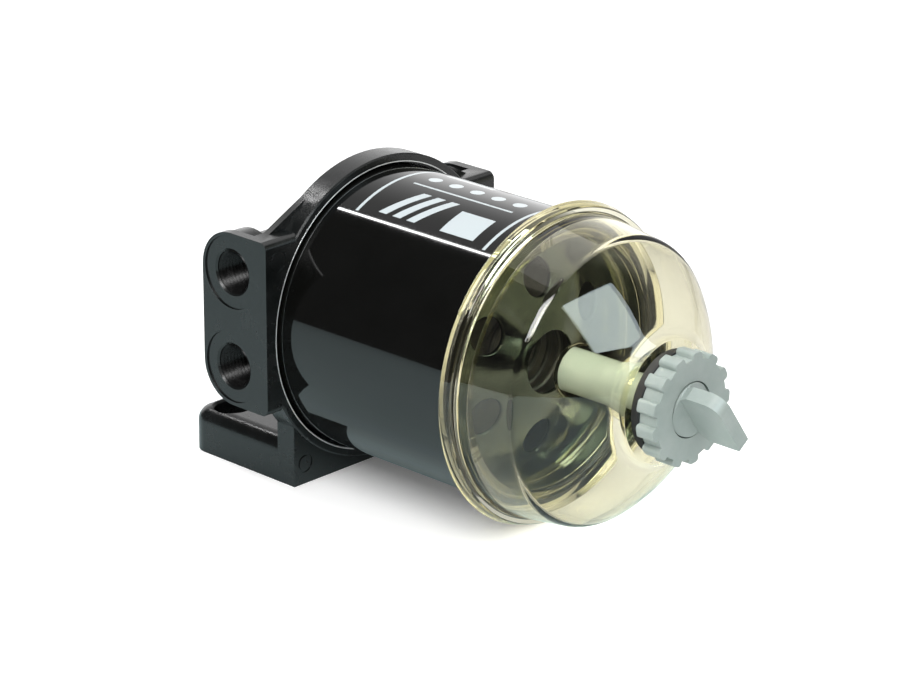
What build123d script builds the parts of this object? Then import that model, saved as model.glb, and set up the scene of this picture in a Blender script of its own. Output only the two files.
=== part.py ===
from build123d import *
import math
import os

# Spin-on fuel filter and water separator, lying on its mounting foot. Sizes in millimetres.
# The origin is on the mounting face, midway between the two mounting slots.
# X runs from the head to the drain, Z is up.
# The pieces are drawn with x = 0 at the head's open face and are moved onto the origin when they are written.

# Filter axis and the clearances that tie the sizes together
axis_height = 52.0
thread_clearance = 0.08
groove_clearance = 0.2
press_gap = 0.05
running_gap = 0.3
edge_break = 0.5

# Cast head
flange_radius = 50.4
flange_depth = 8.5
recess_radius = 47.5
recess_lip = 2.2
recess_depth = 7.0
body_root_radius = 45.0
body_back_radius = 36.0
body_depth = 25.0
gallery_inner_radius = 17.0
gallery_outer_radius = 39.0
gallery_depth = 11.0

# Port blocks on both sides of the head
port_face_half_width = 51.8
port_x = -15.9
port_upper_rise = 20.4
port_lower_rise = -11.1
port_block_radius = 13.1
port_boss_radius = 12.5
port_boss_depth = 8.0
port_tube_radius = 9.6
port_plate = 3.2
port_corner_radius = 3.0
port_thread_radius = 7.2
port_thread_length = 16.0
port_mouth_chamfer = 0.6
port_passage_radius = 5.5
port_passage_wall = 2.6
spotface_radius = 12.0
spotface_depth = 0.5

# Gusset webs, mounting wall and foot
gusset_thickness = 2.4
gusset_foot_half_width = 48.6
gusset_tangent_angle = 34.0
wall_front = -1.2
wall_thickness = 7.6
wall_height = 34.0
foot_length = 49.5
foot_side_margin = 3.2
foot_height = 14.8
foot_edge_radius = 5.0
foot_corner_radius = 7.0
foot_joint_radius = 6.0
slot_x = -39.9
slot_radius = 6.0
slot_length = 17.0
slot_spacing = 55.4
slot_mouth_rounding = 0.8

# Marks that the casting die leaves
mark_depth = 0.3
mark_line = 0.6
ear_mark_radius = 3.5
ear_mark_out = 46.6
ear_mark_up = 26.6
foot_mark_radius = 3.1
foot_mark_out = 34.5
foot_mark_height = 7.0

# Hollow centre stud
stud_radius = 9.5
stud_bore_radius = 6.2
stud_back = -21.0
stud_front = 6.4

# Steel canister
can_radius = 46.5
can_wall = 0.8
can_seam_x = -5.6
can_lid_x = -4.2
can_lid_opening = 37.5
can_end = 73.4
seam_bead = 1.5
seam_edge = 0.4
plate_thickness = 2.6
hub_radius = 12.4
hub_length = 6.4
inlet_hole_radius = 3.6
inlet_hole_circle = 27.0
inlet_holes = 8

# Filter element
gasket_inner_radius = 39.9
gasket_outer_radius = 44.8
seal_thickness = 2.4
seal_outer_radius = 14.6
cap_radius = 41.0
cap_sheet = 1.2
cap_skirt = 4.6
cap_wall = 0.8
cap_opening = 10.5
element_end = 53.8
media_outer_radius = 40.0
media_inner_radius = 17.0
media_sheet = 0.9
pleats = 44
tube_radius = 16.4
tube_wall = 1.2
tube_hole_radius = 2.2
tube_hole_rows = 5
tube_holes_round = 6
spring_radius = 11.6
spring_wire = 0.9
spring_turns = 3

# Bowl end of the canister
ring_start = 62.0
ring_inner_radius = 43.1
shoulder_start = 65.4
shoulder_end = 67.0
shoulder_radius = 39.0
base_sheet = 1.4
base_cone_rise = 7.0
base_cone_radius = 34.0
drip_hole_radius = 6.0
drip_hole_circle = 26.0
drip_holes = 6
base_opening = 10.2

# Clear bowl
neck_start = 68.0
neck_inner_radius = 40.0
rim_start = 73.6
rim_end = 78.0
rim_radius = 51.7
rim_front_radius = 50.7
rim_edge = 0.6
oring_section = 1.35
oring_radius = 44.9
wall_top_radius = 48.4
wall_bottom_x = 96.5
wall_bottom_radius = 46.0
dome_start_x = 103.0
dome_start_radius = 40.9
dome_end_x = 117.8
dome_end_radius = 21.0
dome_bow = 1.0
bowl_wall = 2.8
seat_x = 119.5
seat_radius = 19.4
boss_radius = 8.8
boss_start = 81.0
boss_lead = 0.7
boss_bore_radius = 7.05
boss_flare = 5.0

# Drain
washer_outer_radius = 16.5
washer_thickness = 2.9
wheel_thickness = 6.7
wheel_core_radius = 15.9
wheel_lobe_height = 1.9
wheel_lobe_width = 4.3
wheel_lobe_rounding = 1.2
wheel_lobes = 13
wheel_lobe_phase = -0.7
wheel_recess_radius = 8.9
wheel_recess_depth = 4.0
shank_start = 81.6
shank_lead = 0.8
shank_bore_radius = 4.1
shank_seat_radius = 2.0
shank_seat_thickness = 2.0
knob_radius = 8.5
knob_proud = 0.8
knob_slope_depth = 1.5
lever_angle = -54.4
lever_thickness = 4.7
lever_height = 14.6
lever_heel = 9.9
lever_tip = 11.2
lever_overhang_start = 3.0
lever_corner_radius = 5.0
lever_tip_rounding = 0.8
outlet_radius = 1.4
outlet_out = 4.6
outlet_turn_depth = 2.4
spindle_seal_x = 112.0
spindle_seal_section = 0.8
tip_seal_thickness = 1.2
tip_seal_bore = 0.9


def from_axis(shape):
    """Lifts a shape that was drawn about the X axis onto the filter's axis."""
    return Pos(0, 0, axis_height) * shape


def turned(*points):
    """Turns a closed outline of (x, radius) points about the filter's axis."""
    outline = Polyline(*[(x, 0, radius) for x, radius in points], close=True)
    return from_axis(revolve(make_face(outline), Axis.X))


def ring(start, end, inner, outer):
    """A plain turned ring between two places on the axis."""
    return turned((start, inner), (end, inner), (end, outer), (start, outer))


def disc(start, end, radius):
    """A plain turned disc between two places on the axis."""
    return turned((start, 0), (end, 0), (end, radius), (start, radius))


def torus_ring(x, radius, section):
    """A round-section seal about the filter's axis."""
    profile = Plane.XZ * (Pos(x, radius) * Circle(section))
    return from_axis(revolve(profile, Axis.X))


def cross_cylinder(x, z, radius, start, end):
    """A cylinder that runs along Y between two places."""
    middle = (start + end) / 2
    return Pos(x, middle, z) * Rot(90, 0, 0) * Cylinder(radius, abs(end - start))


def along_axis(radius, start, end, out, angle):
    """A cylinder parallel to the filter's axis, set out from it at an angle."""
    y = out * math.cos(math.radians(angle))
    z = axis_height + out * math.sin(math.radians(angle))
    return Pos((start + end) / 2, y, z) * Rot(0, 90, 0) * Cylinder(radius, end - start)


foot_half_width = slot_spacing / 2 + slot_length / 2 + foot_side_margin
upper_z = axis_height + port_upper_rise
lower_z = axis_height + port_lower_rise
block_top = upper_z + port_block_radius
block_bottom = lower_z - port_block_radius
block_back = port_x - port_block_radius
wall_back = wall_front - wall_thickness


def head_flange():
    """Round flange with the ears that carry the port faces."""
    flange = ring(-flange_depth, 0, recess_radius - 20, flange_radius)
    flange = chamfer(flange.edges().filter_by(GeomType.CIRCLE).sort_by(Axis.X)[-1:], edge_break)
    ear_height = block_top - block_bottom
    ears = Pos(-flange_depth / 2, 0, (block_top + block_bottom) / 2)
    ears = ears * Box(flange_depth, 2 * port_face_half_width, ear_height)
    front = ears.faces().sort_by(Axis.X)[-1]
    ears = fillet(front.edges().filter_by(Axis.Y), port_corner_radius - edge_break)
    return flange + ears


def head_body():
    """Tapered body behind the flange."""
    body = turned(
        (-flange_depth, 0),
        (-flange_depth, body_root_radius),
        (-body_depth, body_back_radius),
        (-body_depth, 0),
    )
    return fillet(body.edges().sort_by(Axis.X)[0], 4.0)


def port_plate_shape(side):
    """Face plate of a port block: square towards the canister, round about the ports at the back."""
    height = block_top - block_bottom
    plate = Pos(block_back / 2, 0, (block_top + block_bottom) / 2) * Box(-block_back, port_plate, height)
    back = plate.edges().filter_by(Axis.Y).sort_by(Axis.X)
    plate = fillet(back[:2], port_block_radius - 0.01)
    front = plate.edges().filter_by(Axis.Y).sort_by(Axis.X)
    plate = fillet(front[-2:], port_corner_radius)
    return Pos(0, side * (port_face_half_width - port_plate / 2), 0) * plate


def port_tubes():
    """Two cross tubes through the body, each with a short wide boss behind the port faces."""
    reach = port_face_half_width - port_plate / 2
    tubes = Part()
    for z in (upper_z, lower_z):
        tubes += cross_cylinder(port_x, z, port_tube_radius, -reach, reach)
        for side in (-1, 1):
            boss_end = side * (reach - port_boss_depth)
            tubes += cross_cylinder(port_x, z, port_boss_radius, side * reach, boss_end)
    return tubes


def gusset(side):
    """Thin web from the top of a port block up to the round flange."""
    angle = math.radians(gusset_tangent_angle)
    touch_y = side * flange_radius * math.sin(angle)
    touch_z = axis_height + flange_radius * math.cos(angle)
    foot_y = side * gusset_foot_half_width
    points = [(foot_y, block_top - 2), (touch_y, touch_z), (touch_y * 0.6, block_top - 2)]
    web = make_face(Polyline(*[(0, y, z) for y, z in points], close=True))
    solid = extrude(web, amount=gusset_thickness, dir=(1, 0, 0))
    return Pos(-flange_depth, 0, 0) * solid


def mounting_foot():
    """Foot plate and the wall that carries the head."""
    foot = Pos(wall_front - foot_length / 2, 0, foot_height / 2)
    foot = foot * Box(foot_length, 2 * foot_half_width, foot_height)
    foot = fillet(foot.edges().filter_by(Axis.Z).sort_by(Axis.X)[:2], foot_corner_radius)
    top = foot.faces().sort_by(Axis.Z)[-1]
    rounded = [edge for edge in top.edges() if edge.center().X < wall_front - 1]
    foot = fillet(rounded, foot_edge_radius)
    wall = Pos((wall_front + wall_back) / 2, 0, wall_height / 2)
    wall = wall * Box(wall_thickness, 2 * foot_half_width, wall_height)
    return foot + wall


def foot_joint():
    """Hollow fillet between the foot's top and the wall."""
    corner = Pos(wall_back - foot_joint_radius / 2 + 0.5, 0, foot_height + foot_joint_radius / 2 - 0.5)
    length = 2 * (foot_half_width - foot_edge_radius)
    block = corner * Box(foot_joint_radius + 1, length, foot_joint_radius + 1)
    hollow = cross_cylinder(
        wall_back - foot_joint_radius,
        foot_height + foot_joint_radius,
        foot_joint_radius,
        -length,
        length,
    )
    return block - hollow


def mounting_slots():
    """Two through slots that run along Y, rounded at the top."""
    cuts = Part()
    for side in (-1, 1):
        centre = Pos(slot_x, side * slot_spacing / 2, 0)
        shape = centre * Rot(0, 0, 90) * SlotOverall(slot_length, 2 * slot_radius)
        cuts += extrude(Pos(0, 0, -1) * shape, amount=foot_height + 2)
        wide = SlotOverall(slot_length + 2 * slot_mouth_rounding, 2 * (slot_radius + slot_mouth_rounding))
        mouth = centre * Rot(0, 0, 90) * wide
        cuts += extrude(Pos(0, 0, foot_height) * mouth, amount=-slot_mouth_rounding, taper=45)
    return cuts


def port_cuts(side):
    """Threaded holes, mouth chamfers, spotfaces and passages of one port face."""
    face = side * port_face_half_width
    cuts = Part()
    for z in (upper_z, lower_z):
        seat = face - side * spotface_depth
        bottom = face - side * port_thread_length
        cuts += cross_cylinder(port_x, z, spotface_radius, face + side, seat)
        cuts += cross_cylinder(port_x, z, port_thread_radius, face, bottom)
        mouth = Cone(port_thread_radius, port_thread_radius + port_mouth_chamfer, port_mouth_chamfer)
        place = Pos(port_x, seat - side * port_mouth_chamfer / 2, z) * Rot(-90 * side, 0, 0)
        cuts += place * mouth
        cuts += cross_cylinder(port_x, z, port_passage_radius, bottom, 0)
    return cuts


def gallery():
    """Ring-shaped inlet chamber, kept clear of the outlet cross tube and the centre boss."""
    start = -recess_depth - gallery_depth
    chamber = ring(start, -recess_depth, gallery_inner_radius, gallery_outer_radius)
    reach = port_face_half_width
    outlet = cross_cylinder(port_x, lower_z, port_passage_radius + port_passage_wall, -reach, reach)
    return chamber - outlet


def ejector_marks():
    """Shallow round marks that the casting die leaves on the front faces."""
    marks = Part()
    height = 2 * mark_depth
    for side in (-1, 1):
        ear = Pos(0, side * ear_mark_out, axis_height + ear_mark_up) * Rot(0, 90, 0)
        marks += ear * (Cylinder(ear_mark_radius, height) - Cylinder(ear_mark_radius - mark_line, height))
        low = Pos(wall_front, side * foot_mark_out, foot_mark_height) * Rot(0, 90, 0)
        marks += low * (Cylinder(foot_mark_radius, height) - Cylinder(foot_mark_radius - mark_line, height))
    return marks


def head_casting():
    head = head_body() + head_flange() + port_tubes() + mounting_foot() + foot_joint()
    for side in (-1, 1):
        head += port_plate_shape(side)
        head += gusset(side)
    inner = recess_radius - edge_break
    head -= disc(-recess_lip, 1, recess_radius)
    head -= disc(-recess_depth, -recess_lip, inner)
    head -= gallery()
    head -= mounting_slots()
    for side in (-1, 1):
        head -= port_cuts(side)
    head -= disc(stud_back - 0.5, -recess_depth, stud_radius + 0.02)
    head -= ejector_marks()
    return head


def center_stud():
    """Hollow threaded stud with a lead-in chamfer at its free end."""
    stud = turned(
        (stud_back, stud_bore_radius),
        (stud_front, stud_bore_radius),
        (stud_front, stud_radius - 1),
        (stud_front - 1, stud_radius),
        (stud_back + 0.6, stud_radius),
        (stud_back, stud_radius - 0.6),
    )
    side_hole = cross_cylinder(port_x, lower_z, port_passage_radius, -stud_radius - 1, stud_radius + 1)
    return stud - side_hole


def canister_shell():
    """Drawn steel can with the seam at the head and a rolled lip at the bowl."""
    inner = can_radius - can_wall
    return turned(
        (can_seam_x, can_radius - seam_bead),
        (can_seam_x, can_radius - seam_edge),
        (can_seam_x + seam_edge, can_radius),
        (can_end - can_wall, can_radius),
        (can_end, can_radius - can_wall),
        (can_end, ring_inner_radius + seam_edge),
        (can_end - can_wall, ring_inner_radius + seam_edge),
        (can_end - can_wall, inner),
        (can_lid_x + can_wall, inner),
        (can_lid_x + can_wall, can_lid_opening),
        (can_lid_x, can_lid_opening),
        (can_lid_x, can_radius - seam_bead),
    )


def head_gasket():
    return ring(-recess_depth, can_lid_x, gasket_inner_radius, gasket_outer_radius)


plate_start = can_lid_x + can_wall
plate_end = plate_start + plate_thickness
hub_end = plate_end + hub_length


def thread_plate():
    """Steel plate under the can's lid with the threaded hub and the inlet holes."""
    bore = stud_radius + thread_clearance
    plate = turned(
        (plate_start, bore),
        (plate_start, can_radius - can_wall - press_gap),
        (plate_end, can_radius - can_wall - press_gap),
        (plate_end, hub_radius),
        (hub_end, hub_radius),
        (hub_end, bore),
    )
    for index in range(inlet_holes):
        angle = 360 / inlet_holes * index
        plate -= along_axis(inlet_hole_radius, plate_start - 1, plate_end + 1, inlet_hole_circle, angle)
    return plate


seal_end = hub_end + seal_thickness


def stud_seal():
    return ring(hub_end, seal_end, stud_radius + groove_clearance, seal_outer_radius)


def top_end_cap():
    """Sheet-metal cap over the pleats with an opening for the clean fuel."""
    return turned(
        (seal_end, cap_opening),
        (seal_end, cap_radius),
        (seal_end + cap_skirt, cap_radius),
        (seal_end + cap_skirt, cap_radius - cap_wall),
        (seal_end + cap_sheet, cap_radius - cap_wall),
        (seal_end + cap_sheet, cap_opening),
    )


media_start = seal_end + cap_sheet
media_length = element_end - media_start


def pleated_media():
    """One folded sheet of filter paper, as a closed star-shaped band."""
    outer = media_outer_radius
    inner = media_inner_radius
    step = math.pi / pleats
    loops = []
    for shift in (0, media_sheet):
        points = []
        for index in range(2 * pleats):
            radius = outer - shift if index % 2 == 0 else inner + media_sheet - shift
            angle = index * step
            points.append((radius * math.cos(angle), radius * math.sin(angle)))
        loops.append(Polyline(*points, close=True))
    band = make_face(loops[0]) - make_face(loops[1])
    solid = extrude(band, amount=media_length)
    return from_axis(Pos(media_start, 0, 0) * Rot(0, 90, 0) * solid)


def center_tube():
    """Perforated tube inside the pleats."""
    tube = ring(media_start, element_end, tube_radius - tube_wall, tube_radius)
    row_step = media_length / tube_hole_rows
    for row in range(tube_hole_rows):
        x = media_start + row_step * (row + 0.5)
        for index in range(tube_holes_round // 2):
            angle = 360 / tube_holes_round * index
            hole = Rot(angle, 0, 0) * Cylinder(tube_hole_radius, 2 * tube_radius + 4)
            tube -= Pos(x, 0, axis_height) * hole
    return tube


cap_end = element_end + cap_sheet


def bottom_end_cap():
    """Closed cap with a low boss that centres the spring."""
    boss = spring_radius - spring_wire - 0.6
    return turned(
        (element_end, 0),
        (element_end, cap_radius - cap_wall),
        (element_end - cap_skirt + cap_sheet, cap_radius - cap_wall),
        (element_end - cap_skirt + cap_sheet, cap_radius),
        (cap_end, cap_radius),
        (cap_end, boss),
        (cap_end + 2, boss - 1),
        (cap_end + 2, 0),
    )


base_start = shoulder_start - base_sheet


def base_rise(radius):
    """How far the base plate's cone stands out towards the bowl at a radius."""
    return base_cone_rise * (base_cone_radius - radius) / (base_cone_radius - base_opening)


def support_spring():
    """Coil spring between the closed cap and the cone of the base plate."""
    seat = base_start + base_rise(spring_radius + spring_wire) - groove_clearance
    height = seat - cap_end - 2 * spring_wire
    path = Helix(pitch=height / spring_turns, height=height, radius=spring_radius)
    section = Plane(origin=path @ 0, z_dir=path % 0) * Circle(spring_wire)
    coil = sweep(section, path=path, is_frenet=True)
    return from_axis(Pos(cap_end + spring_wire, 0, 0) * Rot(0, 90, 0) * coil)


def base_plate():
    """Cone-shaped plate above the bowl with the holes that water falls through."""
    outer = ring_inner_radius - groove_clearance
    plate = turned(
        (base_start, outer),
        (base_start, base_cone_radius),
        (base_start + base_cone_rise, base_opening),
        (shoulder_start + base_cone_rise, base_opening),
        (shoulder_start, base_cone_radius),
        (shoulder_start, outer),
    )
    cut_end = shoulder_start + base_cone_rise
    for index in range(drip_holes):
        angle = 90 + 360 / drip_holes * index
        plate -= along_axis(drip_hole_radius, base_start - 1, cut_end, drip_hole_circle, angle)
    return plate


def bowl_thread_ring():
    """Ring inside the can's end: shoulder for the base plate and thread for the bowl."""
    outer = can_radius - can_wall - press_gap
    return turned(
        (ring_start, ring_inner_radius),
        (ring_start, outer),
        (can_end - can_wall, outer),
        (can_end - can_wall, ring_inner_radius),
        (shoulder_end, ring_inner_radius),
        (shoulder_end, shoulder_radius),
        (shoulder_start, shoulder_radius),
        (shoulder_start, ring_inner_radius),
    )


oring_x = can_end + oring_section + press_gap


def on_section(point):
    """A place on the half section of a turned piece, from its (x, radius)."""
    return Vector(point[0], 0, point[1])


def bowed(start, end, bow):
    """Arc between two (x, radius) points, bowed out to the left of the way it runs."""
    first = on_section(start)
    last = on_section(end)
    along = (last - first).normalized()
    middle = (first + last) / 2 + Vector(-along.Z, 0, along.X) * bow
    return ThreePointArc(first, middle, last)


def bowl_oring():
    return torus_ring(oring_x, oring_radius, oring_section)


def bowl_outline():
    """Closed section of the bowl: neck, rim with the seal groove, wall, dome, drain seat and inner boss."""
    neck_radius = ring_inner_radius - thread_clearance
    groove = oring_section + groove_clearance
    bore = boss_bore_radius
    outer_edge = [
        (neck_start, neck_inner_radius),
        (neck_start, neck_radius),
        (rim_start, neck_radius),
        (rim_start, oring_radius - groove),
        (oring_x + groove, oring_radius - groove),
        (oring_x + groove, oring_radius + groove),
        (rim_start, oring_radius + groove),
        (rim_start, rim_radius - rim_edge),
        (rim_start + rim_edge, rim_radius),
        (rim_end - edge_break, rim_front_radius),
        (rim_end, rim_front_radius - edge_break),
        (rim_end, wall_top_radius + rim_edge),
        (rim_end + rim_edge, wall_top_radius),
        (wall_bottom_x, wall_bottom_radius),
    ]
    slope = math.atan2(dome_start_radius - dome_end_radius, dome_end_x - dome_start_x)
    inward_x = bowl_wall * math.sin(slope)
    inward_radius = bowl_wall * math.cos(slope)
    floor_x = seat_x - bowl_wall
    dome_start = (dome_start_x, dome_start_radius)
    dome_end = (dome_end_x, dome_end_radius)
    inner_start = (dome_start_x - inward_x, dome_start_radius - inward_radius)
    inner_end = (dome_end_x - inward_x, dome_end_radius - inward_radius)
    inner_wall_bottom = (wall_bottom_x - bowl_wall / 3, wall_bottom_radius - bowl_wall)
    flare_start = (floor_x - boss_flare, boss_radius)
    flare_end = (floor_x, boss_radius + boss_flare)
    seat_edge = [
        dome_end,
        (seat_x, seat_radius),
        (seat_x, bore),
        (boss_start, bore),
        (boss_start, boss_radius - boss_lead),
        (boss_start + boss_lead, boss_radius),
        flare_start,
    ]
    inner_edge = [
        inner_wall_bottom,
        (rim_end + bowl_wall, wall_top_radius - bowl_wall),
        (rim_end, neck_inner_radius),
        (neck_start, neck_inner_radius),
    ]
    curves = [
        Polyline(*[on_section(point) for point in outer_edge]),
        bowed(outer_edge[-1], dome_start, dome_bow),
        bowed(dome_start, dome_end, dome_bow),
        Polyline(*[on_section(point) for point in seat_edge]),
        bowed(flare_start, flare_end, boss_flare / 4),
        Polyline(on_section(flare_end), on_section(inner_end)),
        bowed(inner_end, inner_start, -dome_bow),
        bowed(inner_start, inner_wall_bottom, -dome_bow),
        Polyline(*[on_section(point) for point in inner_edge]),
    ]
    return Wire([edge for curve in curves for edge in curve.edges()])


def clear_bowl():
    return from_axis(revolve(Face(bowl_outline()), Axis.X))


washer_end = seat_x + washer_thickness
wheel_end = washer_end + wheel_thickness


def drain_gasket():
    return ring(seat_x, washer_end, boss_bore_radius + groove_clearance, washer_outer_radius)


def wheel_outline():
    """Round core with evenly spaced rounded lobes, all corners softened."""
    reach = 2 * wheel_lobe_height
    lobe = Pos(wheel_core_radius + wheel_lobe_height - reach / 2, 0)
    lobe = lobe * RectangleRounded(reach, wheel_lobe_width, wheel_lobe_rounding)
    outline = Circle(wheel_core_radius)
    for index in range(wheel_lobes):
        outline += Rot(0, 0, wheel_lobe_phase + 360 / wheel_lobes * index) * lobe
    return outline


def drain_wheel():
    """Lobed hand wheel with the hollow shank that screws into the bowl."""
    facing = Plane(origin=(washer_end, 0, axis_height), x_dir=(0, 1, 0), z_dir=(1, 0, 0))
    wheel = extrude(facing * wheel_outline(), amount=wheel_thickness)
    shank_radius = boss_bore_radius - thread_clearance
    wheel += turned(
        (shank_start, 0),
        (washer_end + 1, 0),
        (washer_end + 1, shank_radius),
        (shank_start + shank_lead, shank_radius),
        (shank_start, shank_radius - shank_lead),
    )
    wheel -= disc(wheel_end - wheel_recess_depth, wheel_end + 1, wheel_recess_radius)
    wheel -= disc(shank_start + shank_seat_thickness, wheel_end, shank_bore_radius)
    wheel -= disc(shank_start - 1, shank_start + shank_seat_thickness + 1, shank_seat_radius)
    return wheel


spindle_radius = shank_bore_radius - thread_clearance
tip_start = shank_start + shank_seat_thickness
spindle_start = tip_start + tip_seal_thickness
knob_face = wheel_end + knob_proud


def knob_lever():
    """Flat lever that stands across the knob and overhangs its disc on both sides."""
    top = knob_face + lever_height
    root = knob_radius - edge_break
    overhang = knob_face + lever_overhang_start
    points = [
        (knob_face - 2, -root),
        (knob_face, -root),
        (overhang, -lever_heel),
        (top, -lever_heel),
        (top, lever_tip),
        (overhang, lever_tip),
        (knob_face, root),
        (knob_face - 2, root),
    ]
    outline = make_face(Polyline(*[(x, y, 0) for x, y in points], close=True))
    lever = extrude(outline, amount=lever_thickness / 2, both=True)
    outer = lever.edges().filter_by(Axis.Z).sort_by(Axis.X)[-2:].sort_by(Axis.Y)
    lever = fillet(outer[0], lever_corner_radius)
    outer = lever.edges().filter_by(Axis.Z).sort_by(Axis.X)[-1]
    lever = fillet(outer, lever_tip_rounding)
    return from_axis(Rot(lever_angle, 0, 0) * lever)


def knob_slopes():
    """Cuts that slope the knob's face down from the foot of the lever to the rim."""
    foot = lever_thickness / 2
    points = [(0, foot), (1, foot), (1, knob_radius + 1), (-knob_slope_depth, knob_radius + 1)]
    wedge = make_face(Polyline(*[(knob_face + x, 0, z) for x, z in points], close=True))
    wedge = extrude(wedge, amount=2 * knob_radius, both=True)
    return from_axis(Rot(lever_angle, 0, 0) * (wedge + mirror(wedge, about=Plane.XY)))


def drain_knob():
    """Knob disc, lever and the spindle that closes the drain."""
    disc_start = wheel_end - wheel_recess_depth + running_gap
    groove_half = spindle_seal_section + groove_clearance
    groove_floor = spindle_radius - 2 * spindle_seal_section - 2 * press_gap
    body = turned(
        (spindle_start, 0),
        (knob_face, 0),
        (knob_face, knob_radius - edge_break),
        (knob_face - edge_break, knob_radius),
        (disc_start, knob_radius),
        (disc_start, spindle_radius),
        (spindle_seal_x + groove_half, spindle_radius),
        (spindle_seal_x + groove_half, groove_floor),
        (spindle_seal_x - groove_half, groove_floor),
        (spindle_seal_x - groove_half, spindle_radius),
        (spindle_start, spindle_radius),
    )
    knob = body - knob_slopes() + knob_lever()
    inlet_x = spindle_start + 4
    turn_x = knob_face - outlet_turn_depth
    knob -= Pos(inlet_x, 0, axis_height) * Cylinder(outlet_radius, 2 * knob_radius)
    knob -= disc(inlet_x, turn_x, outlet_radius)
    side = Rot(lever_angle + 90, 0, 0) * Pos(turn_x, outlet_out / 2, 0)
    knob -= from_axis(side * Rot(90, 0, 0) * Cylinder(outlet_radius, outlet_out))
    knob -= along_axis(outlet_radius, turn_x, knob_face + 1, outlet_out, lever_angle + 90)
    return knob


def spindle_oring():
    return torus_ring(spindle_seal_x, spindle_radius - spindle_seal_section - press_gap / 2, spindle_seal_section)


def drain_tip_seal():
    return ring(tip_start, spindle_start, tip_seal_bore, spindle_radius - 2 * groove_clearance)


pieces = {
    "head_casting": head_casting,
    "center_stud": center_stud,
    "head_gasket": head_gasket,
    "canister_shell": canister_shell,
    "thread_plate": thread_plate,
    "stud_seal": stud_seal,
    "top_end_cap": top_end_cap,
    "pleated_media": pleated_media,
    "center_tube": center_tube,
    "bottom_end_cap": bottom_end_cap,
    "support_spring": support_spring,
    "base_plate": base_plate,
    "bowl_thread_ring": bowl_thread_ring,
    "bowl_oring": bowl_oring,
    "clear_bowl": clear_bowl,
    "drain_gasket": drain_gasket,
    "drain_wheel": drain_wheel,
    "drain_knob": drain_knob,
    "spindle_oring": spindle_oring,
    "drain_tip_seal": drain_tip_seal,
}

os.makedirs("parts", exist_ok=True)
for name, make in pieces.items():
    solid = Pos(-slot_x, 0, 0) * make()
    export_step(solid, "parts/" + name + ".step")
    print(name, round(solid.volume), len(solid.solids()))
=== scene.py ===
import math

import bpy
from mathutils import Matrix, Vector


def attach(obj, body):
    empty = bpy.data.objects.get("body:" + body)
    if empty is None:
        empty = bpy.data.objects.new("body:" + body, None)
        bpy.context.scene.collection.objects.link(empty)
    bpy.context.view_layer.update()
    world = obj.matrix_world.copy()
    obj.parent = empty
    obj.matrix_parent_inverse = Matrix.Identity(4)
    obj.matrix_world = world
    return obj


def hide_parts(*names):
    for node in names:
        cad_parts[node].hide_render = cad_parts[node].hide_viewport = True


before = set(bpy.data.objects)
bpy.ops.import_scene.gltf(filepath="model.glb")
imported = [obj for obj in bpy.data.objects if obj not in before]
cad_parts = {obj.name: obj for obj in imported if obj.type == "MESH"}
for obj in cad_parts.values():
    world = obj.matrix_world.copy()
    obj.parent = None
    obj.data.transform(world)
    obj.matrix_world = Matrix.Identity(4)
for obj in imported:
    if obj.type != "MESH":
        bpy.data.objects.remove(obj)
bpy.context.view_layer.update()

# Mounting place
# The part stands on its cast foot. The filter's axis lies level above the floor, and the head's
# open face is a little in front of the two mounting slots, where the frame has its origin.
MM = 0.001
AXIS_Z = 0.052
LIP_X = 0.0399


def on_axis(x_mm):
    """Turns a place along the filter, in millimetres from the head's face, into the frame's X."""
    return LIP_X + x_mm * MM


# Camera
# It looks along the filter from the drain's near side, as the photograph does, through a long
# lens, and its turn, dip and roll are those of the photograph.
LENS_MM = 134.9
SENSOR_MM = 36.0
NEAREST_SEEN = 0.01
CAMERA_PLACE = Vector((0.7600, -0.7261, 0.4235))
CAMERA_TURN = math.radians(43.56)
CAMERA_DIP = math.radians(20.50)
CAMERA_ROLL = math.radians(0.36)

lens = bpy.data.cameras.new("photo_lens")
lens.lens = LENS_MM
lens.sensor_width = SENSOR_MM
lens.clip_start = NEAREST_SEEN
camera = bpy.data.objects.new("photo_camera", lens)
bpy.context.collection.objects.link(camera)
view_right = Vector((math.cos(CAMERA_TURN), math.sin(CAMERA_TURN), 0))
view_line = Vector((
    -math.sin(CAMERA_TURN) * math.cos(CAMERA_DIP),
    math.cos(CAMERA_TURN) * math.cos(CAMERA_DIP),
    -math.sin(CAMERA_DIP),
))
view_up = view_right.cross(view_line)
rolled_right = view_right * math.cos(CAMERA_ROLL) + view_up * math.sin(CAMERA_ROLL)
rolled_up = rolled_right.cross(view_line)
camera_axes = Matrix((rolled_right, rolled_up, -view_line)).transposed().to_4x4()
camera.matrix_world = Matrix.Translation(CAMERA_PLACE) @ camera_axes
bpy.context.scene.camera = camera

# Cast head
# One aluminium casting under satin black paint: a round flange that the canister seals on, two
# port blocks, thin webs and a foot with two slots. Its edges are slightly round, as cast.
CAST_EDGE = 0.35 * MM
EDGE_STEPS = 3
EDGE_ANGLE = math.radians(28)
SMOOTH_ANGLE = math.radians(30)
FLAT_ANGLE = math.radians(0.4)
END_FACE = 0.999
SAME_PLACE = 0.001 * MM
NOISE_LOW = 0.3
NOISE_HIGH = 0.7
PATCH_DETAIL = 4.0
PATCH_ROUGHNESS = 0.6
GRAIN_DETAIL = 3.0
GRAIN_STRENGTH = 0.5


def pick(piece):
    """Deselects all and makes one piece the selected and active object."""
    bpy.ops.object.select_all(action="DESELECT")
    piece.select_set(True)
    bpy.context.view_layer.objects.active = piece


def apply_all(piece):
    """Applies a piece's modifiers in their order."""
    pick(piece)
    for modifier in list(piece.modifiers):
        bpy.ops.object.modifier_apply(modifier=modifier.name)


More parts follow.
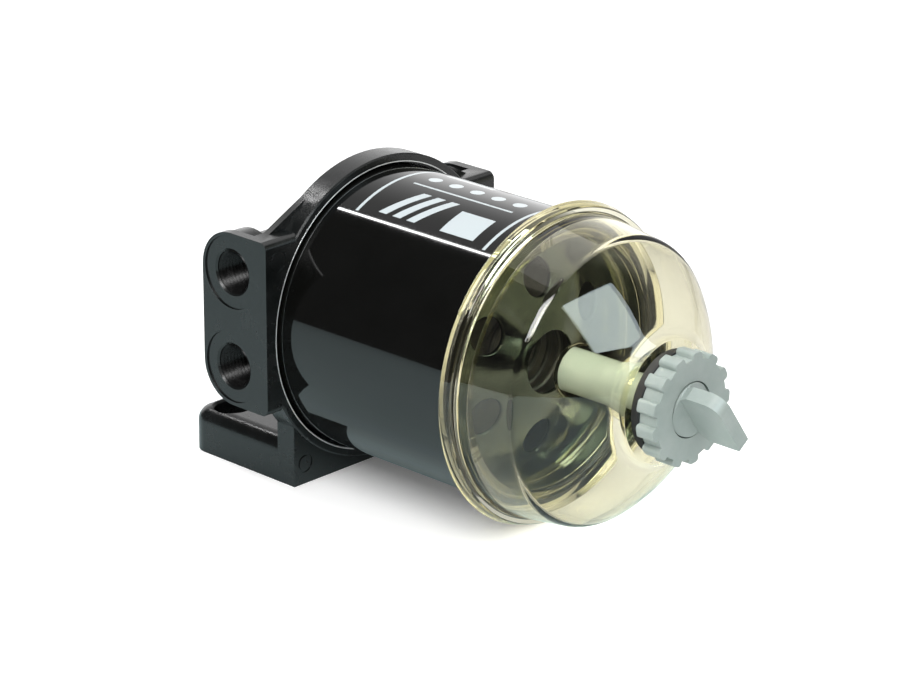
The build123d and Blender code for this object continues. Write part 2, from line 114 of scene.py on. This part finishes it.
def soften(piece, edge):
    """Rounds a piece's sharp edges and shades it so that its broad faces stay true."""
    bevel = piece.modifiers.new("round_edges", "BEVEL")
    bevel.width = edge
    bevel.segments = EDGE_STEPS
    bevel.limit_method = "ANGLE"
    bevel.angle_limit = EDGE_ANGLE
    apply_all(piece)
    bpy.ops.object.shade_smooth_by_angle(angle=SMOOTH_ANGLE)
    weights = piece.modifiers.new("true_faces", "WEIGHTED_NORMAL")
    weights.mode = "FACE_AREA"
    weights.keep_sharp = True
    apply_all(piece)


def soft_copy(node_name, piece_name, edge):
    """Copies a CAD node, joins its triangles except on the end faces, and rounds its edges."""
    piece = bpy.data.objects.new(piece_name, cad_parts[node_name].data.copy())
    bpy.context.collection.objects.link(piece)
    piece.data.materials.clear()
    pick(piece)
    bpy.ops.object.mode_set(mode="EDIT")
    bpy.ops.mesh.select_mode(type="FACE")
    bpy.ops.mesh.select_all(action="SELECT")
    bpy.ops.mesh.remove_doubles(threshold=SAME_PLACE)
    bpy.ops.mesh.customdata_custom_splitnormals_clear()
    bpy.ops.object.mode_set(mode="OBJECT")
    for face in piece.data.polygons:
        face.select = abs(face.normal.x) < END_FACE
    bpy.ops.object.mode_set(mode="EDIT")
    bpy.ops.mesh.dissolve_limited(angle_limit=FLAT_ANGLE)
    bpy.ops.object.mode_set(mode="OBJECT")
    soften(piece, edge)
    return piece


def add_node(tree, kind, **values):
    """Adds a shader node and sets its inputs by name, with spaces written as underscores."""
    node = tree.nodes.new(kind)
    for name, value in values.items():
        node.inputs[name.replace("_", " ")].default_value = value
    return node


def finish_of(name, deep, pale, rough, patch, grain, relief, metallic=0.0):
    """Makes a finish whose colour and roughness drift over patches, with a fine grain in relief.

    deep and pale are its two colours and rough its two roughnesses. patch and grain are the widths
    of a patch and of a grain, and relief is the grain's height, all in metres.
    """
    material = bpy.data.materials.new(name)
    material.use_nodes = True
    tree = material.node_tree
    shader = tree.nodes["Principled BSDF"]
    shader.inputs["Metallic"].default_value = metallic
    places = add_node(tree, "ShaderNodeTexCoord")
    patches = add_node(
        tree, "ShaderNodeTexNoise",
        Scale=1 / patch, Detail=PATCH_DETAIL, Roughness=PATCH_ROUGHNESS,
    )
    grains = add_node(tree, "ShaderNodeTexNoise", Scale=1 / grain, Detail=GRAIN_DETAIL)
    tint = add_node(tree, "ShaderNodeMapRange", From_Min=NOISE_LOW, From_Max=NOISE_HIGH)
    gloss = add_node(
        tree, "ShaderNodeMapRange",
        From_Min=NOISE_LOW, From_Max=NOISE_HIGH, To_Min=rough[0], To_Max=rough[1],
    )
    colours = tree.nodes.new("ShaderNodeMix")
    colours.data_type = "RGBA"
    colours.inputs["A"].default_value = (*deep, 1)
    colours.inputs["B"].default_value = (*pale, 1)
    bump = add_node(tree, "ShaderNodeBump", Strength=GRAIN_STRENGTH, Distance=relief)
    tree.links.new(places.outputs["Object"], patches.inputs["Vector"])
    tree.links.new(places.outputs["Object"], grains.inputs["Vector"])
    tree.links.new(patches.outputs["Fac"], tint.inputs["Value"])
    tree.links.new(patches.outputs["Fac"], gloss.inputs["Value"])
    tree.links.new(tint.outputs["Result"], colours.inputs["Factor"])
    tree.links.new(colours.outputs["Result"], shader.inputs["Base Color"])
    tree.links.new(gloss.outputs["Result"], shader.inputs["Roughness"])
    tree.links.new(grains.outputs["Fac"], bump.inputs["Height"])
    tree.links.new(bump.outputs["Normal"], shader.inputs["Normal"])
    return material


def dress(name, material):
    """Gives a CAD node its finish."""
    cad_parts[name].data.materials.clear()
    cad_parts[name].data.materials.append(material)


def stand_for(piece, body, node_name, material):
    """Gives a piece its finish and lets it stand for a CAD node on a body."""
    piece.data.materials.append(material)
    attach(piece, body)
    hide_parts(node_name)


cast_paint = finish_of(
    "cast_paint", deep=(0.004, 0.005, 0.005), pale=(0.009, 0.010, 0.010), rough=(0.20, 0.30),
    patch=6 * MM, grain=0.5 * MM, relief=0.05 * MM,
)
cast_head = soft_copy("head_casting", "cast_head", CAST_EDGE)
stand_for(cast_head, "head", "head_casting", cast_paint)

# Highlight ring
# A thin ring of pale metal at the edge of the flange's recess, round the canister: a painted
# highlight for the bright line there.
TURNED_SIDES = 180
HIGHLIGHT_RING_EDGE = 0.06 * MM


def turned(name, stations, sides=TURNED_SIDES):
    """Extrudes a ring from station to station, each (mm along, mm radius), back to the first."""
    bpy.ops.object.select_all(action="DESELECT")
    bpy.ops.mesh.primitive_circle_add(
        vertices=sides, radius=stations[0][1] * MM, fill_type="NOTHING",
        location=(on_axis(stations[0][0]), 0, AXIS_Z), rotation=(0, math.pi / 2, 0),
    )
    piece = bpy.context.object
    piece.name = name
    bpy.ops.object.transform_apply(location=True, rotation=True, scale=True)
    bpy.ops.object.mode_set(mode="EDIT")
    bpy.ops.mesh.select_mode(type="EDGE")
    bpy.ops.mesh.select_all(action="SELECT")
    for (x, radius), (next_x, next_radius) in zip(stations, stations[1:] + stations[:1]):
        step = ((next_x - x) * MM, 0, 0)
        grow = next_radius / radius
        middle = (on_axis(next_x), 0, AXIS_Z)
        bpy.ops.mesh.extrude_region_move(TRANSFORM_OT_translate={"value": step})
        bpy.ops.transform.resize(value=(1, grow, grow), center_override=middle)
    bpy.ops.mesh.select_all(action="SELECT")
    bpy.ops.mesh.remove_doubles(threshold=SAME_PLACE)
    bpy.ops.mesh.normals_make_consistent(inside=False)
    bpy.ops.object.mode_set(mode="OBJECT")
    return piece


# This pale metal is a painted highlight for the bright line at the recess's edge.
highlight_metal = finish_of(
    "highlight_metal", deep=(0.72, 0.73, 0.73), pale=(0.84, 0.85, 0.85), rough=(0.30, 0.45),
    patch=5 * MM, grain=0.3 * MM, relief=0.01 * MM, metallic=0.6,
)
highlight_ring = turned("highlight_ring", [
    (-0.5, 47.45),
    (-0.1, 47.45),
    (0.06, 47.65),
    (0.06, 47.95),
    (-0.5, 47.95),
])
soften(highlight_ring, HIGHLIGHT_RING_EDGE)
highlight_ring.data.materials.append(highlight_metal)
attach(highlight_ring, "head")

# Port threads
# Each port is tapped with a fine thread. The thread is one ridge under thin black paint that
# winds into the block, half sunk in the wall of the tapped hole.
PORT_FACE_Y = 0.0518
PORT_X = on_axis(-15.9)
PORT_UPPER_Z = AXIS_Z + 20.4 * MM
PORT_LOWER_Z = AXIS_Z - 11.1 * MM
THREAD_INSET = 1.2 * MM
THREAD_RADIUS = 7.2 * MM
THREAD_PITCH = 1.41 * MM
THREAD_TURNS = 10
THREAD_STEPS = 40
RIDGE_SIDES = 4
RIDGE_GAP = 0.02 * MM
THREAD_SHEEN = 0.2


def port_thread(name):
    """Winds one ridge into the upper port on the near side."""
    start_y = -PORT_FACE_Y + THREAD_INSET
    bpy.ops.object.select_all(action="DESELECT")
    bpy.ops.mesh.primitive_circle_add(
        vertices=RIDGE_SIDES, radius=THREAD_PITCH / 2 - RIDGE_GAP, fill_type="NOTHING",
        location=(PORT_X, start_y, PORT_UPPER_Z + THREAD_RADIUS), rotation=(0, math.pi / 2, 0),
    )
    piece = bpy.context.object
    piece.name = name
    bpy.context.scene.cursor.location = (PORT_X, start_y, PORT_UPPER_Z)
    bpy.ops.object.transform_apply(location=False, rotation=True, scale=True)
    bpy.ops.object.origin_set(type="ORIGIN_CURSOR")
    screw = piece.modifiers.new("wind", "SCREW")
    screw.axis = "Y"
    screw.screw_offset = THREAD_PITCH
    screw.iterations = THREAD_TURNS
    screw.steps = THREAD_STEPS
    screw.render_steps = THREAD_STEPS
    apply_all(piece)
    bpy.ops.object.transform_apply(location=True, rotation=False, scale=False)
    bpy.ops.object.mode_set(mode="EDIT")
    bpy.ops.mesh.select_mode(type="EDGE")
    bpy.ops.mesh.select_all(action="DESELECT")
    bpy.ops.mesh.select_non_manifold()
    bpy.ops.mesh.edge_face_add()
    bpy.ops.mesh.select_all(action="SELECT")
    bpy.ops.mesh.normals_make_consistent(inside=False)
    bpy.ops.object.mode_set(mode="OBJECT")
    bpy.ops.object.shade_smooth_by_angle(angle=SMOOTH_ANGLE)
    bpy.context.scene.cursor.location = (0, 0, 0)
    return piece


def copy_of(piece, name, move=(0, 0, 0), turn=0.0):
    """Copies a piece with its own mesh, turns it about the upright at the origin and moves it."""
    twin = piece.copy()
    twin.data = piece.data.copy()
    twin.name = name
    bpy.context.collection.objects.link(twin)
    pick(twin)
    twin.location = move
    twin.rotation_euler = (0, 0, turn)
    bpy.ops.object.transform_apply(location=True, rotation=True, scale=True)
    return twin


thread_paint = finish_of(
    "thread_paint", deep=(0.003, 0.003, 0.003), pale=(0.008, 0.008, 0.008), rough=(0.20, 0.30),
    patch=3 * MM, grain=0.3 * MM, relief=0.03 * MM,
)
thread_shader = thread_paint.node_tree.nodes["Principled BSDF"]
thread_shader.inputs["Specular IOR Level"].default_value = THREAD_SHEEN
drop = (0, 0, PORT_LOWER_Z - PORT_UPPER_Z)
near_inlet = port_thread("inlet_thread_near")
near_outlet = copy_of(near_inlet, "outlet_thread_near", drop)
far_inlet = copy_of(near_inlet, "inlet_thread_far", (2 * PORT_X, 0, 0), math.pi)
far_outlet = copy_of(far_inlet, "outlet_thread_far", drop)
for ridge in (near_inlet, near_outlet, far_inlet, far_outlet):
    ridge.data.materials.append(thread_paint)
    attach(ridge, "head")

# Zinc-plated steel, rubber and filter paper
# The stud, the thread plate, the element's caps, its tube and its spring are zinc-plated steel.
# The seals are black nitrile rubber, and the pleats are resin-treated paper.
zinc = finish_of(
    "zinc_plate", deep=(0.50, 0.49, 0.45), pale=(0.64, 0.63, 0.59), rough=(0.25, 0.42),
    patch=5 * MM, grain=0.4 * MM, relief=0.02 * MM, metallic=1.0,
)
for node_name in ("center_stud", "thread_plate", "top_end_cap", "center_tube"):
    dress(node_name, zinc)

# The closed cap and the spring, behind the base plate's holes, have a darker and duller copy of
# the zinc: painted shade for the dark inside of the canister.
shaded_zinc = finish_of(
    "shaded_zinc", deep=(0.07, 0.07, 0.06), pale=(0.12, 0.12, 0.10), rough=(0.45, 0.65),
    patch=5 * MM, grain=0.4 * MM, relief=0.02 * MM, metallic=1.0,
)
for node_name in ("bottom_end_cap", "support_spring"):
    dress(node_name, shaded_zinc)

rubber = finish_of(
    "seal_rubber", deep=(0.008, 0.008, 0.009), pale=(0.016, 0.016, 0.017), rough=(0.45, 0.65),
    patch=4 * MM, grain=0.3 * MM, relief=0.02 * MM,
)
for node_name in (
    "head_gasket", "stud_seal", "bowl_oring", "drain_gasket", "spindle_oring", "drain_tip_seal",
):
    dress(node_name, rubber)

paper = finish_of(
    "filter_paper", deep=(0.62, 0.52, 0.32), pale=(0.74, 0.66, 0.46), rough=(0.8, 0.95),
    patch=3 * MM, grain=0.25 * MM, relief=0.05 * MM,
)
dress("pleated_media", paper)

# Canister
# A drawn steel can with gloss black baked paint. Where a label goes, it has plain white print:
# two narrow bands round the can, and between them bars, a block, a line and a row of dots.
CAN_RADIUS = 46.5 * MM
CAN_EDGE = 0.2 * MM
INK = (0.55, 0.61, 0.63, 1)

# Each bar: middle and half length along the can, then middle and half width round the can, from
# the top towards the near side, in millimetres, and its lean, in mm along for each mm round.
# The dots stand in one row, and their places are measured in the same way.
LABEL_BARS = (
    (11.0, 0.6, -6.0, 30.0, 0.0),
    (65.0, 0.6, -6.0, 30.0, 0.0),
    (24.0, 1.7, 15.0, 7.0, 0.5),
    (30.0, 1.7, 15.0, 7.0, 0.5),
    (36.0, 1.7, 15.0, 7.0, 0.5),
    (52.0, 7.0, 16.5, 5.5, 0.0),
    (38.0, 21.0, 3.6, 0.45, 0.0),
    (27.0, 10.0, -14.0, 3.0, 0.0),
    (51.0, 8.0, -14.0, 0.8, 0.0),
)
DOT_PLACES = (20.0, 29.0, 38.0, 47.0, 56.0)
DOT_ROW = -3.2
DOT_RADIUS = 2.3

can_paint = finish_of(
    "can_paint", deep=(0.0026, 0.0027, 0.0024), pale=(0.0036, 0.0037, 0.0034), rough=(0.045, 0.07),
    patch=14 * MM, grain=1.2 * MM, relief=0.002 * MM,
)
tree = can_paint.node_tree
shader = tree.nodes["Principled BSDF"]


def measure(operation, first, second, third=None):
    """Adds one step of reckoning to the tree in hand; each input is a socket or a number."""
    step = tree.nodes.new("ShaderNodeMath")
    step.operation = operation
    for socket, value in zip(step.inputs, (first, second, third)):
        if isinstance(value, (int, float)):
            socket.default_value = value
        elif value is not None:
            tree.links.new(value, socket)
    return step.outputs["Value"]


def object_places():
    """Adds the object's own coordinates to the tree in hand, split into X, Y and Z."""
    places = tree.nodes.new("ShaderNodeTexCoord")
    split = tree.nodes.new("ShaderNodeSeparateXYZ")
    tree.links.new(places.outputs["Object"], split.inputs["Vector"])
    return split.outputs


place = object_places()
along = measure("MULTIPLY", measure("SUBTRACT", place["X"], LIP_X), 1 / MM)
above = measure("SUBTRACT", place["Z"], AXIS_Z)
angle = measure("ARCTAN2", measure("MULTIPLY", place["Y"], -1.0), above)
around = measure("MULTIPLY", angle, CAN_RADIUS / MM)
print_mask = 0.0
for middle, half_length, row, half_width, lean in LABEL_BARS:
    leaning = measure("MULTIPLY", measure("SUBTRACT", around, row), lean)
    in_length = measure("COMPARE", measure("ADD", along, leaning), middle, half_length)
    in_width = measure("COMPARE", around, row, half_width)
    print_mask = measure("MAXIMUM", print_mask, measure("MULTIPLY", in_length, in_width))
for dot_place in DOT_PLACES:
    off_along = measure("POWER", measure("SUBTRACT", along, dot_place), 2.0)
    off_around = measure("POWER", measure("SUBTRACT", around, DOT_ROW), 2.0)
    in_dot = measure("LESS_THAN", measure("ADD", off_along, off_around), DOT_RADIUS ** 2)
    print_mask = measure("MAXIMUM", print_mask, in_dot)
printed = tree.nodes.new("ShaderNodeMix")
printed.data_type = "RGBA"
printed.inputs["B"].default_value = INK
tree.links.new(shader.inputs["Base Color"].links[0].from_socket, printed.inputs["A"])
tree.links.new(print_mask, printed.inputs["Factor"])
tree.links.new(printed.outputs["Result"], shader.inputs["Base Color"])

# The outline runs over the seam at the head, a shallow groove beside it, the wall, the lip at the
# bowl, the wall's inside and the end that is turned in at the head.
drawn_can = turned("drawn_can", [
    (-5.6, 45.0),
    (-5.6, 46.1),
    (-5.2, 46.5),
    (-3.4, 46.5),
    (-3.0, 46.3),
    (-2.6, 46.5),
    (72.6, 46.5),
    (73.4, 45.7),
    (73.4, 43.5),
    (72.6, 43.5),
    (72.6, 45.7),
    (-3.4, 45.7),
    (-3.4, 37.5),
    (-4.2, 37.5),
    (-4.2, 45.0),
])
soften(drawn_can, CAN_EDGE)
stand_for(drawn_can, "canister", "canister_shell", can_paint)

# Plate inside the bowl
# The canister's end is closed by a dark phosphated plate with round drip holes, and the bowl
# screws into a ring of the same steel. The edges of the holes are rolled.
ROLLED_EDGE = 0.5 * MM

plate_steel = finish_of(
    "plate_steel", deep=(0.087, 0.100, 0.082), pale=(0.122, 0.139, 0.113), rough=(0.08, 0.16),
    patch=9 * MM, grain=0.9 * MM, relief=0.0004 * MM, metallic=1.0,
)
drip_plate = soft_copy("base_plate", "drip_plate", ROLLED_EDGE)
stand_for(drip_plate, "canister", "base_plate", plate_steel)
dress("bowl_thread_ring", plate_steel)

# Bowl
# One clear moulding, slightly amber: neck, rim with a seal groove, sloping wall, domed end with a
# flat seat for the drain, and the hollow boss that the drain screws into.
BOWL_SIDES = 240
BOWL_EDGE = 0.35 * MM
BOWL_TINT = (0.99, 0.99, 0.96, 1)
BOWL_INDEX = 1.5
AMBER = (0.96, 0.84, 0.18, 1)
AMBER_DEPTH = 50.0
WAVE_SCALE = 60.0
WAVE_DETAIL = 1.0
WAVE_STRENGTH = 0.4
WAVE_HEIGHT = 0.12 * MM
BOW_STEPS = 10


def bowed(start, end, bow):
    """Points along a slight arc between two stations, without its first."""
    run_x = end[0] - start[0]
    run_radius = end[1] - start[1]
    length = math.hypot(run_x, run_radius)
    points = []
    for step in range(1, BOW_STEPS + 1):
        share = step / BOW_STEPS
        rise = bow * 4 * share * (1 - share)
        x = start[0] + run_x * share - run_radius / length * rise
        points.append((x, start[1] + run_radius * share + run_x / length * rise))
    return points


bowl_plastic = bpy.data.materials.new("bowl_plastic")
bowl_plastic.use_nodes = True
tree = bowl_plastic.node_tree
shader = tree.nodes["Principled BSDF"]
shader.inputs["Base Color"].default_value = BOWL_TINT
shader.inputs["Roughness"].default_value = 0.0
shader.inputs["IOR"].default_value = BOWL_INDEX
shader.inputs["Transmission Weight"].default_value = 1
absorb = add_node(tree, "ShaderNodeVolumeAbsorption", Color=AMBER, Density=AMBER_DEPTH)
tree.links.new(absorb.outputs["Volume"], tree.nodes["Material Output"].inputs["Volume"])
places = add_node(tree, "ShaderNodeTexCoord")
waves = add_node(tree, "ShaderNodeTexNoise", Scale=WAVE_SCALE, Detail=WAVE_DETAIL)
bump = add_node(tree, "ShaderNodeBump", Strength=WAVE_STRENGTH, Distance=WAVE_HEIGHT)
tree.links.new(places.outputs["Object"], waves.inputs["Vector"])
tree.links.new(waves.outputs["Fac"], bump.inputs["Height"])
tree.links.new(bump.outputs["Normal"], shader.inputs["Normal"])

# The outline runs from the neck over the outside to the boss, and back over the inside.
NECK = [(68.0, 40.0), (68.0, 43.0), (73.6, 43.0)]
SEAL_GROOVE = [(73.6, 43.35), (76.35, 43.35), (76.35, 46.45), (73.6, 46.45)]
RIM = [(73.6, 51.1), (74.2, 51.7), (77.5, 50.7), (78.0, 50.2), (78.0, 49.0), (78.6, 48.4)]
DOME_OUTSIDE = [
    (96.1, 46.05),
    *bowed((96.1, 46.05), (98.6, 44.97), 0.19),
    *bowed((98.6, 44.97), (117.8, 21.0), 1.54),
]
DRAIN_SEAT = [(119.5, 19.4), (119.5, 7.05)]
BOSS = [(81.0, 7.05), (81.0, 8.1), (81.7, 8.8), (111.7, 8.8)]
DOME_INSIDE = [
    *bowed((111.7, 8.8), (116.7, 13.8), 1.25),
    (115.31, 19.71),
    *bowed((115.31, 19.71), (96.82, 42.81), -1.48),
    *bowed((96.82, 42.81), (95.73, 43.27), -0.08),
]
WALL_INSIDE = [(80.8, 45.6), (78.0, 40.0)]

clear_bowl = turned(
    "moulded_bowl",
    NECK + SEAL_GROOVE + RIM + DOME_OUTSIDE + DRAIN_SEAT + BOSS + DOME_INSIDE + WALL_INSIDE,
    BOWL_SIDES,
)
soften(clear_bowl, BOWL_EDGE)
stand_for(clear_bowl, "bowl", "clear_bowl", bowl_plastic)
clear_bowl.visible_shadow = False

# Drain
# A hand wheel with rounded lobes and a flat lever on the valve's knob, both moulded in light
# grey plastic. The black washer seals the wheel against the bowl.
DRAIN_EDGE = 0.45 * MM

drain_plastic = finish_of(
    "drain_plastic", deep=(0.315, 0.375, 0.35), pale=(0.375, 0.43, 0.405), rough=(0.32, 0.45),
    patch=7 * MM, grain=0.4 * MM, relief=0.015 * MM,
)
wheel = soft_copy("drain_wheel", "lobed_wheel", DRAIN_EDGE)
stand_for(wheel, "wheel", "drain_wheel", drain_plastic)
knob = soft_copy("drain_knob", "lever_knob", DRAIN_EDGE)
stand_for(knob, "valve", "drain_knob", drain_plastic)

# Floor
# A plain white table. Seen directly it keeps the part's shadow. Mirrored by the part it is
# slightly blue on the near side, and mirrored within the bowl it is darkened towards the camera
# by a painted shadow.
FLOOR_RADIUS = 0.74
FLOOR_PLACE = (0.05, 0, 0)
FLOOR_SIDES = 96
SOME_DEPTH = 0.5
WHITE = (1, 1, 1, 1)
NEAR_TONE = (0.78, 0.96, 0.98, 1)
GLOW_STRENGTH = 1.05

bpy.ops.object.select_all(action="DESELECT")
bpy.ops.mesh.primitive_circle_add(
    vertices=FLOOR_SIDES, radius=FLOOR_RADIUS, fill_type="NGON", location=FLOOR_PLACE
)
floor = bpy.context.object
floor.name = "studio_floor"
floor_paint = bpy.data.materials.new("floor_paint")
floor_paint.use_nodes = True
tree = floor_paint.node_tree
shader = tree.nodes["Principled BSDF"]
shader.inputs["Roughness"].default_value = 1.0
shader.inputs["Specular IOR Level"].default_value = 0


def ray_kinds():
    """Masks for rays that see a thing unmirrored, that mirror it and that have passed the bowl.

    A ray's depths are whole numbers, so SOME_DEPTH parts none from one or more.
    """
    rays = tree.nodes.new("ShaderNodeLightPath").outputs
    bounced = measure("MAXIMUM", rays["Glossy Depth"], rays["Diffuse Depth"])
    straight = measure("LESS_THAN", bounced, SOME_DEPTH)
    direct = measure("MAXIMUM", rays["Is Camera Ray"], rays["Is Transmission Ray"])
    seen = measure("MULTIPLY", direct, straight)
    mirrored = measure("GREATER_THAN", rays["Glossy Depth"], SOME_DEPTH)
    through_bowl = measure("GREATER_THAN", rays["Transmission Depth"], SOME_DEPTH)
    return seen, mirrored, through_bowl


def weighed(base, *parts):
    """Adds to a base number each part, a socket, times its weight."""
    total = base
    for part, weight in parts:
        total = measure("MULTIPLY_ADD", part, weight, total)
    return total


def slide(value, start, end, first=0.0, last=1.0):
    """Goes from the first number to the last while a socket's value goes from start to end."""
    node = add_node(
        tree, "ShaderNodeMapRange", From_Min=start, From_Max=end, To_Min=first, To_Max=last
    )
    tree.links.new(value, node.inputs["Value"])
    return node.outputs["Result"]


seen, mirrored, through_bowl = ray_kinds()
bowl_image = measure("MULTIPLY", mirrored, through_bowl)
plain_image = measure("SUBTRACT", mirrored, bowl_image)
plain_view = measure("SUBTRACT", seen, measure("MULTIPLY", seen, through_bowl))
place = object_places()

# Each slide names the two places on the floor, in metres, between which it goes from 0 to 1.
near_front = measure("MULTIPLY", slide(place["X"], 0.03, 0.10), slide(place["Y"], 0.03, -0.02))
under_bowl = measure("MULTIPLY", bowl_image, slide(place["X"], 0.06, 0.11))
near_camera = measure("MULTIPLY", plain_image, slide(place["Y"], 0.15, 0.05))

# Paint keeps the part's shadow and glow hides it, so what is seen or mirrored is nearly all
# paint. Other light and the view through the bowl get half of each, and under the bowl, mirrored
# within it, glow has the greater share.
# This is a painted shadow: where the bowl mirrors the floor in front of the part, it darkens the
# floor's paint and glow.
painted_shadow_level = weighed(1.0, (measure("MULTIPLY", bowl_image, near_front), -0.85))
whiteness = weighed(0.9, (plain_view, 0.35), (plain_image, 0.1))
glow_share = weighed(0.5, (plain_view, -0.42), (mirrored, -0.42), (under_bowl, 0.55))
tone = tree.nodes.new("ShaderNodeMix")
tone.data_type = "RGBA"
tone.inputs["A"].default_value = WHITE
tone.inputs["B"].default_value = NEAR_TONE
glow = tree.nodes.new("ShaderNodeEmission")
paint = tree.nodes.new("ShaderNodeVectorMath")
paint.operation = "SCALE"
blend = tree.nodes.new("ShaderNodeMixShader")
tree.links.new(near_camera, tone.inputs["Factor"])
tree.links.new(tone.outputs["Result"], glow.inputs["Color"])
tree.links.new(measure("MULTIPLY", painted_shadow_level, GLOW_STRENGTH), glow.inputs["Strength"])
tree.links.new(tone.outputs["Result"], paint.inputs[0])
tree.links.new(measure("MULTIPLY", painted_shadow_level, whiteness), paint.inputs["Scale"])
tree.links.new(paint.outputs["Vector"], shader.inputs["Base Color"])
tree.links.new(glow_share, blend.inputs["Fac"])
tree.links.new(shader.outputs["BSDF"], blend.inputs[1])
tree.links.new(glow.outputs["Emission"], blend.inputs[2])
tree.links.new(blend.outputs["Shader"], tree.nodes["Material Output"].inputs["Surface"])
floor.data.materials.append(floor_paint)

# Surround
# A studio that is plain white to look at. What the part mirrors is dark on the camera's side, so
# that the black paint stays black, and bright on the far side, with an olive tint past the drain.
OLIVE = (0.98, 1.0, 0.84, 1)
SEEN_STRENGTH = 1.0
SOFT_STRENGTH = 0.52
CAMERA_SIDE = 0.06
SIDE_IN_PAINT = 0.4
SIDE_IN_BOWL = 0.9

surround = bpy.data.worlds.new("surround")
bpy.context.scene.world = surround
surround.use_nodes = True
tree = surround.node_tree
back = tree.nodes["Background"]
studio = tree.nodes.new("ShaderNodeTexCoord")
split = tree.nodes.new("ShaderNodeSeparateXYZ")
tree.links.new(studio.outputs["Generated"], split.inputs["Vector"])
way = split.outputs


def mix_of(factor, first, second):
    """Mixes two brightnesses of the surround; each input is a socket or a number."""
    mix = tree.nodes.new("ShaderNodeMix")
    for name, value in (("Factor", factor), ("A", first), ("B", second)):
        if isinstance(value, (int, float)):
            mix.inputs[name].default_value = value
        else:
            tree.links.new(value, mix.inputs[name])
    return mix.outputs["Result"]


seen, mirrored, through_bowl = ray_kinds()

# A ray's way is a direction of length 1. Each slide names the two values that it turns between,
# and that of a wall also the brightness at each.
past_drain = slide(way["X"], 0.30, 0.45)
past_head = slide(way["X"], -0.42, -0.56)
far_side = slide(way["Y"], -0.02, 0.10)
wall_past_drain = slide(way["Z"], 0.15, 0.55, 0.7, 0.10)
wall_past_head = slide(way["Z"], 0.25, 0.70, 1.5, 0.6)
side_wall = mix_of(through_bowl, SIDE_IN_PAINT, SIDE_IN_BOWL)
far_wall = mix_of(past_head, mix_of(past_drain, side_wall, wall_past_drain), wall_past_head)
mirror_image = mix_of(far_side, CAMERA_SIDE, far_wall)
unseen = mix_of(mirrored, SOFT_STRENGTH, mirror_image)
tree.links.new(mix_of(seen, unseen, SEEN_STRENGTH), back.inputs["Strength"])
studio_tint = tree.nodes.new("ShaderNodeMix")
studio_tint.data_type = "RGBA"
studio_tint.inputs["A"].default_value = WHITE
studio_tint.inputs["B"].default_value = OLIVE
tree.links.new(measure("MULTIPLY", mirrored, past_drain), studio_tint.inputs["Factor"])
tree.links.new(studio_tint.outputs["Result"], back.inputs["Color"])

# Lamps
# Soft lamps light the part from above, from the near side and from the drain's end. Three more
# give matt faces no light and show only as reflections, and through the clear bowl.
LAMP_AIM = Vector((0.11, 0, AXIS_Z))
PALE_BLUE = (0.80, 0.94, 1.0)


def add_lamp(name, azimuth, rise, distance, wide, tall, power):
    """Adds a soft lamp that faces the part; azimuth is in degrees from +X towards +Y."""
    data = bpy.data.lights.new(name, "AREA")
    data.shape = "RECTANGLE"
    data.size = wide
    data.size_y = tall
    data.energy = power
    lamp = bpy.data.objects.new(name, data)
    reach = math.cos(math.radians(rise))
    towards = Vector((
        math.cos(math.radians(azimuth)) * reach,
        math.sin(math.radians(azimuth)) * reach,
        math.sin(math.radians(rise)),
    ))
    lamp.location = LAMP_AIM + towards * distance
    lamp.rotation_euler = (-towards).to_track_quat("-Z", "Y").to_euler()
    bpy.context.collection.objects.link(lamp)
    return lamp


add_lamp("top_lamp", azimuth=110, rise=72, distance=0.95, wide=1.0, tall=1.0, power=2.8)
for lamp in (
    add_lamp("key_lamp", azimuth=-75, rise=50, distance=0.9, wide=0.6, tall=0.6, power=6.4),
    add_lamp("fill_lamp", azimuth=10, rise=30, distance=0.9, wide=0.5, tall=0.5, power=1.1),
):
    lamp.visible_glossy = False
    lamp.visible_transmission = False
front_lamp = add_lamp(
    "front_lamp", azimuth=8, rise=36, distance=0.8, wide=0.52, tall=0.40, power=3.9
)
front_lamp.data.color = PALE_BLUE
for lamp in (
    front_lamp,
    add_lamp("side_lamp", azimuth=-64, rise=50, distance=0.8, wide=0.50, tall=0.40, power=8.5),
    add_lamp("strip_lamp", azimuth=180, rise=48.5, distance=0.8, wide=0.018, tall=0.34, power=0.7),
):
    lamp.visible_diffuse = False

bpy.context.scene.view_settings.view_transform = "Standard"
